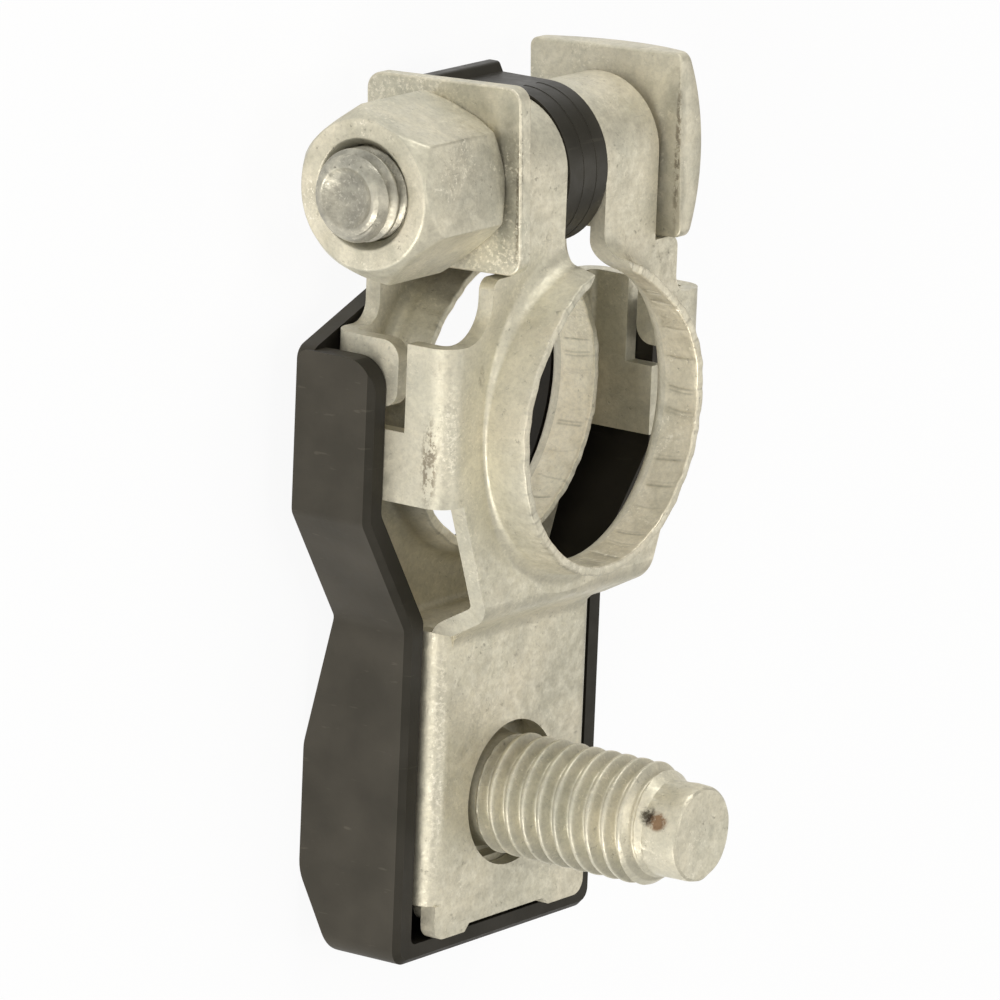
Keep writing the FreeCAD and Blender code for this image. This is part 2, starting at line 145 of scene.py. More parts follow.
def loft(rings, closed_ends=(True, True), loop=False):
    """Points and faces of a skin over rings of equally many points."""
    n = len(rings[0])
    points = [p for ring in rings for p in ring]
    faces = []
    last = len(rings) if loop else len(rings) - 1
    for i in range(last):
        a = i * n
        b = ((i + 1) % len(rings)) * n
        for k in range(n):
            j = (k + 1) % n
            faces.append((a + k, a + j, b + j, b + k))
    if closed_ends[0]:
        faces.append(tuple(range(n))[::-1])
    if closed_ends[1]:
        faces.append(tuple(range((len(rings) - 1) * n, len(rings) * n)))
    return points, faces


def arc(cx, cz, r, first, last, steps):
    """Points on an arc in a section plane, angles in degrees."""
    points = []
    for k in range(steps + 1):
        a = math.radians(first + (last - first) * k / steps)
        points.append((cx + r * math.cos(a), cz + r * math.sin(a)))
    return points


def span(a, b, steps):
    """Points evenly from a to b, without b itself."""
    return [(a[0] + (b[0] - a[0]) * k / steps, a[1] + (b[1] - a[1]) * k / steps) for k in range(steps)]


def softened(path, sizes, steps=4):
    """The path with each inner corner replaced by a small curve of its size, or less on a short run."""
    share = 0.48
    path = [Vector(p) for p in path]
    points = [path[0]]
    for before, corner, after, size in zip(path, path[1:], path[2:], sizes):
        first, last = [corner + (p - corner) * min(size / max((p - corner).length, 1e-6), share)
                       for p in (before, after)]
        for k in range(steps + 1):
            t = k / steps
            points.append(first * (1 - t) ** 2 + corner * 2 * t * (1 - t) + last * t * t)
    return points + [path[-1]]


def baked(obj):
    """Mesh of the object with its modifiers, put in place of them."""
    graph = bpy.context.evaluated_depsgraph_get()
    mesh = bpy.data.meshes.new_from_object(obj.evaluated_get(graph))
    obj.modifiers.clear()
    obj.data = mesh
    return mesh


def cut_away(obj, tool):
    """Takes the tool's volume out of the object for good."""
    mod = obj.modifiers.new("cut", "BOOLEAN")
    mod.operation = "DIFFERENCE"
    mod.solver = "EXACT"
    mod.object = tool
    baked(obj)
    bpy.data.objects.remove(tool)


def cad_copy(name):
    """Copy of a CAD node, welded so that flat faces are whole again."""
    mesh = nodes[name].data.copy()
    mesh.transform(nodes[name].matrix_world)
    mesh.materials.clear()
    for layer in ("custom_normal", "sharp_face", "sharp_edge"):
        if layer in mesh.attributes:
            mesh.attributes.remove(mesh.attributes[layer])
    obj = bpy.data.objects.new(name + "_shown", mesh)
    bpy.context.collection.objects.link(obj)
    weld(mesh)
    return obj


def weld(mesh):
    bm = bmesh.new()
    bm.from_mesh(mesh)
    bmesh.ops.remove_doubles(bm, verts=bm.verts, dist=weld_gap * mm)
    bmesh.ops.dissolve_limit(bm, angle_limit=math.radians(0.6), verts=bm.verts, edges=bm.edges)
    bm.to_mesh(mesh)
    bm.free()


def worn_edges(obj, width, skip=None, sharp_deg=24, steps=3):
    """Rounds the object's edges, apart from those that skip names, in its second material."""
    mesh = obj.data
    mesh.attributes.new("bevel_weight_edge", "FLOAT", "EDGE")
    bm = bmesh.new()
    bm.from_mesh(mesh)
    layer = bm.edges.layers.float["bevel_weight_edge"]
    for edge in bm.edges:
        if len(edge.link_faces) != 2 or edge.calc_face_angle(0) < math.radians(sharp_deg):
            continue
        if skip is None or not skip(edge):
            edge[layer] = 1.0
        else:
            edge.smooth = False
    bm.to_mesh(mesh)
    bm.free()
    mesh.shade_smooth()
    mod = obj.modifiers.new("edges", "BEVEL")
    mod.width = width * mm
    mod.segments = steps
    mod.limit_method = "WEIGHT"
    mod.material = 1
    mod.harden_normals = True
    mod.miter_outer = "MITER_ARC"
    return obj


def give(obj, body, slot, node, *materials):
    """Hands the piece its materials and body, and hides the CAD node it stands for. The slot is not used."""
    for mat in materials:
        obj.data.materials.append(mat)
    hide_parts(node)
    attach(obj, body)


# Pieces

def on_ring(edge):
    """True for an edge left where a collar was taken out of the sheet."""
    return all(abs(math.hypot(v.co.x, v.co.y) / mm - ring_r) < 0.03 for v in edge.verts)


def sheet():
    """Folded sheet without its collars, with the tab at the plate's end narrower on the left."""
    obj = cad_copy("clamp_body")
    circle = [(x, y) for x, y, _ in round_ring(ring_r, 0.0, collar_columns)]
    rings = [[(x, y, z) for x, y in circle] for z in (back_face_z - past, collar_h + past)]
    cut_away(obj, new_object("hole", *loft(rings)))
    tab_x = -plate_half + tab_inset
    corner = arc(tab_x + tab_corner_r, plate_end_y + tab_corner_r, tab_corner_r, 180, 270, 6)
    outline = [(-plate_half - past, flange_end_y), (tab_x, flange_end_y)] + corner
    outline += [(tab_x + tab_corner_r, plate_end_y - past), (-plate_half - past, plate_end_y - past)]
    rings = [[(x, y, z) for x, y in outline] for z in (back_plate_z - 2 * past, plate_z + past)]
    cut_away(obj, new_object("tab_side", *loft(rings)))
    weld(obj.data)
    return worn_edges(obj, sheet_edge_w, on_ring)


def score_lines(seed):
    """Places round the bore, depths, slants and bends of the marks left by drawing the collar."""
    rng = random.Random(seed)
    lines = []
    angle = 0.0
    while angle < math.tau:
        slant = rng.uniform(-0.012, 0.012)
        bow = rng.uniform(0.002, 0.014)
        for k in range(rng.choice((1, 1, 2, 2))):
            lines.append((angle + rng.uniform(0.018, 0.034) * k, rng.uniform(0.02, 0.08), slant, bow))
        angle += rng.uniform(0.09, 0.26)
    return lines


def collar_section(wall_t, root, height):
    """Section of a collar from its underside round to its face, as (radius, height, kind).

    The kinds are 0 underside, 1 bore, 2 and 3 the rim's two edges, 4 outer wall and 5 face.
    """
    bend_steps, rim_steps, bore_steps, wall_steps = 12, 3, 12, 6
    soft = collar_soft
    inner_x, outer_x = post_r + soft, post_r + rim_t - soft
    rows = [(ring_r, -sheet_t, 0)]
    rows += [(r, z, 0) for r, z in arc(post_r + entry_r, entry_r - sheet_t, entry_r, 270, 180, bend_steps)]
    rows += [(r, z, 1) for r, z in span((post_r, rows[-1][1]), (post_r, height - soft), bore_steps)[1:]]
    rows += [(r, z, 2) for r, z in arc(inner_x, height - soft, soft, 180, 90, rim_steps)]
    rows += [(r, z, 3) for r, z in arc(outer_x, height - soft, soft, 90, 0, rim_steps)]
    bend = arc(post_r + wall_t + root, root, root, 180, 270, bend_steps)
    rows += [(r, z, 4) for r, z in span((post_r + rim_t, height - soft), bend[0], wall_steps)[1:]]
    rows += [(r, z, 4) for r, z in bend]
    rows.append((ring_r, 0.0, 5))
    return rows


def soft_step(t):
    t = max(0.0, min(1.0, t))
    return t * t * (3 - 2 * t)


def near(a, middle_deg, reach_deg):
    """1 at an angle, falling softly to 0 at a distance from it."""
    off = abs((math.degrees(a) - middle_deg + 180) % 360 - 180)
    return soft_step(1 - off / reach_deg)


def front_shape(a):
    """Root wall, root radius and height of the front collar at an angle.

    The root is sharp on the left, and the collar is low at the slit.
    """
    deg = math.degrees(a)
    to_slit = soft_step((deg - 20) / 46) * (deg < 90)
    past_slit = near(a, 104, 26) * (deg >= 90)
    sharp = near(a, 188, 62)
    at_right_ear = near(a, 62, 50)
    root = 0.75 + 0.3 * near(a, 270, 90) + 0.7 * at_right_ear + 0.55 * near(a, 108, 50) - 0.5 * sharp
    height = 2.95 - 0.18 * math.cos(a) - 1.2 * to_slit - 0.35 * past_slit
    return 0.85 - 0.25 * max(sharp, at_right_ear), root, height


def back_shape(a):
    """Root wall, root radius and height of the back collar at an angle: lower at the lower left."""
    return root_t, root_r, collar_h - 0.35 * near(a, 225, 50)


def collar(name, face_z, shape, seed, torn=()):
    """Drawn collar with a torn rim and score lines in its bore, open at the slit.

    The bore is flat between score lines, and the rim is more ragged at the torn places.
    """
    line_half = 0.11
    flatness = 0.8
    fade_low, fade_high, fade_band = -0.4, 0.1, (0.5, 0.45)
    rim_low = 0.6
    score_share = 10
    lines = score_lines(seed)
    firsts = sorted(at for at, _, _, _ in lines)
    columns = []
    marks = []
    for k in range(collar_columns):
        a = math.tau * k / collar_columns
        c, s = math.cos(a), math.sin(a)
        here = Vector((2.2 * c, 2.2 * s, seed))
        wall_t, root, height = shape(a)
        ragged = sum(near(a, at, reach) for at, reach in torn)
        tear = 0.11 * noise.noise(here) + 0.09 * noise.noise(here * 5)
        tear += (0.015 + 0.12 * ragged) * noise.noise(here * 19)
        below = max((at for at in firsts if at <= a), default=0.0)
        above = min((at for at in firsts if at > a), default=math.tau)
        flat = 2 * post_r * math.sin((a - below) / 2) * math.sin((above - a) / 2)
        column = []
        for r, z, kind in collar_section(wall_t, root, height):
            lift = max(0.0, (z - rim_low) / (height - rim_low))
            mark = 0.0
            if kind == 1:
                fade = soft_step((height - fade_high - z) / fade_band[1])
                fade *= soft_step((z - fade_low) / fade_band[0])
                for at, deep, slant, bow in lines:
                    t = z - 1.2
                    off = abs((a - at - slant * t - bow * t * t + math.pi) % math.tau - math.pi) * post_r
                    if off < line_half:
                        mark = max(mark, deep * (1 - off / line_half) * fade)
                r += mark - flatness * flat * fade + 0.02 * noise.noise(here * 7 + Vector((0, 0, z)))
            if kind in (3, 4):
                wave = 0.09 * noise.noise(here * 4 + Vector((7, 3, z * 0.4))) + 0.02 * noise.noise(here * 15)
                r += lift * wave
                r += lift * ragged * 0.2 * noise.noise(here * 23 + Vector((0, 0, z * 3)))
            score = mark * score_share
            if kind in (2, 3):
                rough = noise.noise(here * 16 + Vector((z, 4, 2)))
                score += max(0.0, 1.6 * rough - 0.35) * (0.6 + ragged)
                score += 0.5 * near(a, 245, 55) * (kind == 3 and z < height - 0.05)
            column.append((r * c, r * s, face_z + z + lift * tear))
            marks.append(score)
        columns.append(column)
    rows = len(columns[0])
    rings = [[columns[k][i] for k in range(collar_columns)] for i in range(rows)]
    obj = new_object(name, *loft(rings, (False, False), loop=True))
    layer = obj.data.attributes.new("mark", "FLOAT", "POINT")
    for i in range(rows):
        for k in range(collar_columns):
            layer.data[i * collar_columns + k].value = marks[k * rows + i]
    # The bore's faces take the collar's second material, a brighter colour: painted light in the bore.
    bore_r = (post_r + 0.13) * mm
    bore_z = (face_z + 0.3) * mm
    for face in obj.data.polygons:
        centre = face.center
        if math.hypot(centre.x, centre.y) < bore_r and centre.z > bore_z:
            face.material_index = 1
    cut_away(obj, slit_tool())
    finish_mesh(obj.data, 50)
    return obj


def slit_tool():
    """Prism as wide as the slit, with round shoulders at the post bore."""
    end = (mouth_half, mouth_y)
    corner = (slit_half, flare_y)
    to_end = (end[0] - corner[0], end[1] - corner[1])
    length = math.hypot(*to_end)
    turn = math.acos(-to_end[1] / length)
    cut = flare_r * math.tan(turn / 2)
    centre = (slit_half + flare_r, flare_y + cut)
    steps = 10
    top_y, low_y = 14.0, 6.0
    right = [(slit_half, top_y)]
    for k in range(steps + 1):
        a = math.pi + turn * k / steps
        right.append((centre[0] + flare_r * math.cos(a), centre[1] + flare_r * math.sin(a)))
    right += [end, (mouth_half, low_y)]
    outline = right + [(-x, y) for x, y in right[::-1]]
    rings = [[(x, y, z) for x, y in outline] for z in (back_face_z - 2 * past, collar_h + 2 * past)]
    return new_object("slit", *loft(rings))


def ridge(phase):
    """Height of a thread's side at a phase of its pitch, from 0 at the root to 1 at the crest."""
    root_share, side_share = 0.14, 0.66
    t = abs(phase % 1.0 - 0.5) * 2
    return min(1.0, max(0.0, (t - root_share) / side_share))


def soft_ridge(phase):
    """The same height with its corners softened."""
    step = 0.045
    return (ridge(phase - step) + 2 * ridge(phase) + ridge(phase + step)) / 4


def screw_rings(low, high, r, pitch, ends, start=0.0):
    """Rings of a right-hand thread between two heights, kept inside the radius that ends(z) gives."""
    depth = 0.6 * pitch
    rings_per_pitch = 26
    count = int((high - low) / (pitch / rings_per_pitch))
    rings = []
    for i in range(count + 1):
        z = low + (high - low) * i / count
        ring = []
        for k in range(thread_columns):
            a = math.tau * k / thread_columns
            wear = 0.025 * noise.noise(Vector((3 * math.cos(a), 3 * math.sin(a), z * 2.2)))
            rr = r - depth * (1 - soft_ridge((z - start) / pitch - k / thread_columns)) + wear - thread_gap
            rr = min(rr, ends(z))
            ring.append((rr * math.cos(a), rr * math.sin(a), z))
        rings.append(ring)
    return rings


def round_ring(r, z, columns=thread_columns):
    return [(r * math.cos(math.tau * k / columns), r * math.sin(math.tau * k / columns), z)
            for k in range(columns)]


def polygon_edge(sides, half, corner_r, columns, turn=0.0, centre=(0.0, 0.0)):
    """Points evenly in angle round a polygon with round corners; half is from its centre to a side."""
    halvings = 36
    wedge = math.pi / sides
    inner = half - corner_r
    side = inner * math.tan(wedge)
    points = []
    for k in range(columns):
        a = math.tau * k / columns
        low, high = 0.0, half * 2
        for _ in range(halvings):
            t = (low + high) / 2
            x, y = t * math.cos(a) - centre[0], t * math.sin(a) - centre[1]
            folded = (math.atan2(y, x) - turn + wedge) % (2 * wedge) - wedge
            over = math.hypot(x, y) * math.cos(folded) - inner
            aside = max(0.0, math.hypot(x, y) * abs(math.sin(folded)) - side)
            outside = over > 0 and math.hypot(over, aside) > corner_r
            low, high = (low, t) if outside else (t, high)
        points.append((low * math.cos(a), low * math.sin(a)))
    return points


def nut():
    """Tall hexagon nut with soft corners, its hexagon a little off the centre of its chamfered end."""
    low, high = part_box("clamp_nut")
    end_x, seat_x = low[0] / mm, high[0] / mm
    tall = seat_x - end_x
    bore_r = bolt_r + nut_bore_gap
    end_slope, seat_slope = 1.4, 0.8
    end_sink, seat_sink = 0.6, 0.5
    columns = []
    for y, z in polygon_edge(6, nut_half, nut_corner_r, nut_columns, nut_turn, nut_shift):
        side_r = math.hypot(y, z)
        face_r = min(nut_face_r, side_r - 0.08)
        slope = (side_r - face_r) * end_slope
        seat = (side_r - face_r) * seat_slope
        path = [(tall - seat_sink, bore_r), (tall, nut_sink_r), (tall, face_r), (tall - seat, side_r),
                (slope, side_r), (0.0, face_r), (0.0, nut_sink_r), (end_sink, bore_r)]
        section = softened(path, (0.1, 0.15, 0.25, 0.22, 0.16, 0.12))
        columns.append([(end_x + u, r * y / side_r, r * z / side_r) for u, r in section])
    rings = [[column[i] for column in columns] for i in range(len(columns[0]))]
    points = []
    for ring in rings:
        for x, y, z in ring:
            here = Vector((x, y, z))
            wave = 0.03 * noise.noise(here * 0.5) + 0.012 * noise.noise(here * 1.7)
            points.append((x, y * (1 + wave * 0.2) + bolt_y, z * (1 + wave * 0.2) + fold_z))
    obj = new_object("clamp_nut_shown", points, loft(rings, (False, False), loop=True)[1], 60)
    for face in obj.data.polygons:
        if face.normal.x < -0.9 and face.center.x / mm < end_x + 0.2:
            face.material_index = 1
    return obj


def spacer():
    """Spacer roller, pressed a little flat in front, with soft edges and shallow grooves."""
    obj = cad_copy("ear_spacer")
    groove_low_r, press_low_r = 4.9, 4.5
    roller_half = 1.9
    for v in obj.data.vertices:
        y, z = v.co.y / mm - spacer_y, v.co.z / mm - fold_z
        r = math.hypot(y, z)
        if groove_low_r < r < spacer_r - 0.1 and abs(v.co.x) < roller_half * mm:
            scale = (spacer_r - groove_deep) / r
            y, z = y * scale, z * scale
        if z > 0 and r > press_low_r:
            z *= spacer_press
        v.co.y, v.co.z = (y + spacer_y) * mm, (z + fold_z) * mm
    return worn_edges(obj, spacer_edge_w)


def stud():
    """Cable stud: thread, plain point with a small dent, and the square head behind the sheet."""

    def ends(z):
        if z > thread_end_z:
            return stud_r + (point_r - stud_r) * min(1, (z - thread_end_z) / (point_z - thread_end_z))
        return stud_r - max(0.0, thread_low_z - z)

    head_low = back_plate_z - stud_head_t
    head_chamfer, head_chamfer_h = 0.4, 0.6
    start = thread_low_z - 0.3
    tip = stud_tip_z
    outline = polygon_edge(4, stud_head / 2, stud_head_corner_r, thread_columns)
    inner = polygon_edge(4, stud_head / 2 - head_chamfer, 0.5, thread_columns)
    head = ((inner, head_low), (outline, head_low + head_chamfer_h), (outline, back_plate_z))
    rings = [[(x, y, z) for x, y in ring] for ring, z in head]
    rings += [round_ring(stud_r, back_plate_z), round_ring(stud_root_r, back_plate_z + sheet_t),
              round_ring(stud_groove_r, start)]
    rings += screw_rings(start, point_z, stud_r, stud_pitch, ends, stud_thread_shift)
    point = [(point_r, point_z + 0.02), (point_r - 0.01, 9.2), (point_r, 10.0), (point_r - 0.02, tip - 0.3),
             (point_r - 0.07, tip - 0.12), (point_r - 0.22, tip), (2.4, tip - 0.02), (1.6, tip - 0.03),
             (0.8, tip - 0.05)]
    rings += [round_ring(r, z) for r, z in point]
    dent, dent_reach, dent_share = Vector((-2.6, 0.9, 10.3)), 1.3, 0.06
    for ring in rings[-len(point):]:
        for k, p in enumerate(ring):
            wave = noise.noise(Vector(p) * 0.9) * 0.035
            dented = max(0.0, 1 - (Vector(p) - dent).length / dent_reach)
            q = Vector((p[0], p[1], 0)) * (1 + wave * 0.6 - dent_share * dented)
            ring[k] = (q.x, q.y, p[2] + wave * 0.5)
    points, faces = loft([[(x, y + stud_y, z) for x, y, z in ring] for ring in rings])
    return new_object("terminal_stud_shown", points, faces, 32)


def bolt():
    """Clamp bolt: crowned square head, threaded shank and a dished end."""
    end = bolt_end_x
    thread_r = bolt_r - thread_gap
    rounded, round_deep, round_power = 1.1, 0.68, 1.6

    def ends(z):
        back = max(0.0, 1 - (z - end) / rounded)
        return thread_r - round_deep * back ** round_power

    steps = (0, 0.25, 0.45, 0.6, 0.7, 0.78, 0.85, 0.91, 0.96, 1.0)
    dish = [(0.05 + (dish_r - 0.05) * t, end + dish_deep * (1 - t ** 4)) for t in steps]
    lip = [(2.0, end - 0.02), (2.1, end - 0.02), (2.18, end), (2.24, end + 0.05)]
    rings = [round_ring(r, x) for r, x in dish + lip]
    rings += screw_rings(end + 0.1, -5.0, bolt_r, bolt_pitch, ends)
    rings += [round_ring(thread_r, -4.9), round_ring(thread_r, head_x)]
    columns = 360
    crown_steps = 24
    soft = head_soft
    wide = polygon_edge(4, head_half, head_corner_r, columns)
    inset = polygon_edge(4, head_half - soft, head_corner_r - soft, columns)
    top = head_edge_t + head_crown_r - math.sqrt(head_crown_r ** 2 - 2 * head_half ** 2)

    def crown(x, y):
        return top - head_crown_r + math.sqrt(head_crown_r ** 2 - x * x - y * y)

    head = [[(x * 0.5, y * 0.5, 0.0) for x, y in inset], [(x, y, 0.0) for x, y in inset]]
    for t in (0.3, 0.7):
        out, up = math.sin(t * math.pi / 2), soft * (1 - math.cos(t * math.pi / 2))
        head.append([(xi + (x - xi) * out, yi + (y - yi) * out, up) for (x, y), (xi, yi) in zip(wide, inset)])
    head.append([(x, y, soft) for x, y in wide])
    head.append([(x, y, crown(x, y) - soft) for x, y in wide])
    head.append([(x - (x - xi) * 0.3, y - (y - yi) * 0.3, crown(x, y) - soft * 0.35)
                 for (x, y), (xi, yi) in zip(wide, inset)])
    for k in range(crown_steps, 1, -1):
        share = k / crown_steps
        head.append([(x * share, y * share, crown(x * share, y * share)) for x, y in inset])
    turn = Matrix.Translation((head_x, 0, 0)) @ Matrix.Rotation(square_turn, 4, "X")
    turn = turn @ Matrix.Rotation(math.pi / 2, 4, "Y")
    points, faces = loft([[(p[2], p[0], p[1]) for p in ring] for ring in rings])
    more, extra = loft([[turn @ Vector(p) for p in ring] for ring in head])
    start = len(points)
    points = [Vector(p) for p in points] + more
    faces += [tuple(i + start for i in f) for f in extra]
    obj = new_object("clamp_bolt_shown", [(x, y + bolt_y, z + fold_z) for x, y, z in points], faces, 34)
    for face in obj.data.polygons:
        if face.center.x / mm < end + 2.5:
            face.material_index = 1
    layer = obj.data.attributes.new("mark", "FLOAT", "POINT")
    for v, p in zip(layer.data, points):
        v.value = 0.42 * soft_step((2.05 - math.hypot(p[1], p[2])) / 0.9) * (p[0] < end + 1)
    return obj


def cover():
    """Moulded cover, higher on the right, with painted shade: a darker, smoother material inside and a darker
    one on the rim and other faces turned towards +Z.
    """
    obj = cad_copy("insulator_cover")
    low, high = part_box("insulator_cover")
    for face in obj.data.polygons:
        centre, normal = face.center, face.normal
        inward = normal.x * centre.x < 0 and abs(normal.x) > 0.5
        side = inward and abs(centre.x) < high[0] - 0.8 * mm
        end = normal.y > 0.5 and centre.y < low[1] + 2 * mm
        floor = normal.z > 0.5 and centre.z < high[2] - 2 * mm
        # Painted shade: inner faces take the darkest material, and faces turned towards +Z a darker one.
        if side or end or floor:
            face.material_index = 3
        elif normal.z > 0.3:
            face.material_index = 2
    for v in obj.data.vertices:
        if v.co.x > high[0] - 2 * mm and v.co.z > high[2] - 0.5 * mm:
            v.co.z += rim_lift * mm
    return worn_edges(obj, cover_edge_w)


# Materials

def shader(name):
    mat = bpy.data.materials.new(name)
    mat.use_nodes = True
    return mat, mat.node_tree, mat.node_tree.nodes["Principled BSDF"]


def add(tree, kind, **values):
    """New node with its settings, where a value for an input is written as in_name or in_number."""
    node = tree.nodes.new(kind)
    for key, value in values.items():
        if key.startswith("in_"):
            at = key[3:]
            node.inputs[int(at) if at.isdigit() else at.replace("_", " ")].default_value = value
        else:
            setattr(node, key, value)
    return node


def stretched(tree, scale, turn=(0, 0, 0)):
    """Object coordinates, scaled and turned."""
    where = tree.nodes.new("ShaderNodeTexCoord")
    mapping = add(tree, "ShaderNodeMapping", in_Scale=scale, in_Rotation=turn)
    tree.links.new(where.outputs["Object"], mapping.inputs["Vector"])
    return mapping.outputs["Vector"]


def grain(tree, scale, detail=3.0, turn=(0, 0, 0), roughness=0.55, distortion=0.0):
    """Noise with features of about 1 / scale metres."""
    node = add(tree, "ShaderNodeTexNoise", in_Scale=1.0, in_Detail=detail, in_Roughness=roughness,
               in_Distortion=distortion)
    if not isinstance(scale, tuple):
        scale = (scale, scale, scale)
    tree.links.new(stretched(tree, scale, turn), node.inputs["Vector"])
    return node.outputs["Fac"]


def ramp(tree, fac, *stops):
    """Colour ramp through (place, colour) stops."""
    node = tree.nodes.new("ShaderNodeValToRGB")
    marks = node.color_ramp.elements
    for k, (place, colour) in enumerate(stops):
        mark = marks[k] if k < len(marks) else marks.new(place)
        mark.position = place
        mark.color = (*colour, 1) if isinstance(colour, tuple) else (colour, colour, colour, 1)
    tree.links.new(fac, node.inputs["Fac"])
    return node.outputs["Color"]


def blend(tree, mode, fac, a, b):
    """Mix of two colours, each a socket."""
    node = add(tree, "ShaderNodeMix", data_type="RGBA", blend_type=mode)
    if isinstance(fac, float):
        node.inputs["Factor"].default_value = fac
    else:
        tree.links.new(fac, node.inputs["Factor"])
    tree.links.new(a, node.inputs["A"])
    tree.links.new(b, node.inputs["B"])
    return node.outputs["Result"]


def flecks(tree, scale, low, mask_scale, mask_low, turn=(0, 0, 0)):
    """Fine ragged flecks in loose clusters, 1 inside a fleck."""
    inside = ramp(tree, grain(tree, scale, 3.0, turn, 0.7), (low, 0.0), (low + 0.11, 1.0))
    mask = ramp(tree, grain(tree, mask_scale, 3.0, turn), (mask_low, 0.0), (mask_low + 0.1, 1.0))
    return blend(tree, "MULTIPLY", 1.0, inside, mask)


def patch(tree, centre, size):
    """1 at a place on the object, falling to 0 at the ends of an ellipsoid; sizes in millimetres."""
    where = tree.nodes.new("ShaderNodeTexCoord")
    mapping = add(tree, "ShaderNodeMapping", vector_type="TEXTURE", in_Location=[c * mm for c in centre],
                  in_Scale=[c * mm for c in size])
    tree.links.new(where.outputs["Object"], mapping.inputs["Vector"])
    ball = add(tree, "ShaderNodeTexGradient", gradient_type="SPHERICAL")
    tree.links.new(mapping.outputs["Vector"], ball.inputs["Vector"])
    return ball.outputs["Fac"]


def plating(name, dark, light, rough=(0.40, 0.60), metal=0.6, bump=0.5, glint=0.5, pitted=0.35,
            scraped_and_shaded=(), painted_glint_places=(), shaded_and_stained=()):
    """Matt pale plating with mottling, grain, pits, painted glints, dark scrapes, painted shade lines, stains
    and painted shadows.
    """
    mat, tree, bsdf = shader(name)

    def darkened(colour, fac, *stops):
        return blend(tree, "MULTIPLY", 1.0, colour, ramp(tree, fac, *stops))

    cloud = grain(tree, 430.0, 6.0, distortion=0.8)
    base = ramp(tree, cloud, (0.36, dark), (0.63, light))
    stain = grain(tree, 130.0, 3.0, (0.4, 0.2, 0.9))
    base = darkened(base, stain, (0.40, (0.90, 0.92, 0.93)), (0.60, (1.0, 1.0, 1.0)))
    base = darkened(base, grain(tree, 3600.0, 4.0, roughness=0.7), (0.35, 0.86), (0.60, 1.0))
    pits = flecks(tree, 2600.0, 0.61, 300.0, 0.47, (1.1, 0.3, 0.7))
    base = darkened(base, pits, (0.0, 1.0), (1.0, 1.0 - pitted))
    hair = grain(tree, (260.0, 6500.0, 900.0), 3.0, (0.5, 0.8, 1.3))
    base = darkened(base, hair, (0.68, 1.0), (0.74, 0.86))
    score = add(tree, "ShaderNodeAttribute", attribute_name="mark")
    base = darkened(base, score.outputs["Fac"], (0.05, 1.0), (0.8, 0.55))
    # Dark ragged marks in each listed place: real scrapes on the sheet, and painted shade lines along edges
    # of the washer and bolt head.
    for centre, size in scraped_and_shaded:
        ragged = grain(tree, (2600.0, 1500.0, 2600.0), 4.0, roughness=0.75)
        inside = ramp(tree, ragged, (0.47, 0.0), (0.54, 1.0))
        place = ramp(tree, patch(tree, centre, size), (0.05, 0.0), (0.5, 1.0))
        scrape_and_shade = blend(tree, "MULTIPLY", 1.0, inside, place)
        base = darkened(base, scrape_and_shade, (0.0, 1.0), (1.0, (0.48, 0.45, 0.42)))
    # Patches darkened to a colour: painted shadows and shade, and real stains.
    for centre, size, colour in shaded_and_stained:
        ragged = grain(tree, 2000.0 / max(size), 5.0, (0.7, 0.1, 0.5), 0.7)
        uneven = ramp(tree, ragged, (0.38, 0.4), (0.62, 1.5))
        inside = blend(tree, "MULTIPLY", 1.0, patch(tree, centre, size), uneven)
        place = ramp(tree, inside, (0.05, 0.0), (0.5, 1.0))
        base = darkened(base, place, (0.0, 1.0), (1.0, colour))
    # Pale specks are painted glints, as strong as glint sets, with more of them painted in each listed place.
    glint_paint = flecks(tree, 3800.0, 0.54, 260.0, 0.46, (0.2, 0.9, 0.4))
    glint_paint = darkened(glint_paint, cloud, (0.0, glint), (1.0, glint))
    for centre, size in painted_glint_places:
        inside = ramp(tree, grain(tree, 3400.0, 3.0, roughness=0.75), (0.48, 0.0), (0.60, 0.7))
        place = ramp(tree, patch(tree, centre, size), (0.0, 0.0), (0.5, 1.0))
        glint_paint = blend(tree, "ADD", 1.0, glint_paint, blend(tree, "MULTIPLY", 1.0, inside, place))
    pale = ramp(tree, glint_paint, (0.0, light), (1.0, (0.93, 0.88, 0.74)))
    base = blend(tree, "MIX", glint_paint, base, pale)
    tree.links.new(base, bsdf.inputs["Base Color"])
    bsdf.inputs["Metallic"].default_value = metal
    gloss = ramp(tree, grain(tree, 1300.0, 5.0, roughness=0.65), (0.38, rough[0]), (0.60, rough[1]))
    tree.links.new(gloss, bsdf.inputs["Roughness"])
    height = blend(tree, "SUBTRACT", 0.6, grain(tree, 1700.0, 6.0, roughness=0.65), pits)
    relief = add(tree, "ShaderNodeBump", in_Strength=bump, in_Distance=0.07 * mm)
    tree.links.new(height, relief.inputs["Height"])
    swell = add(tree, "ShaderNodeBump", in_Strength=0.22, in_Distance=0.2 * mm)
    tree.links.new(grain(tree, 330.0, 2.0), swell.inputs["Height"])
    tree.links.new(relief.outputs["Normal"], swell.inputs["Normal"])
    tree.links.new(swell.outputs["Normal"], bsdf.inputs["Normal"])
    return mat


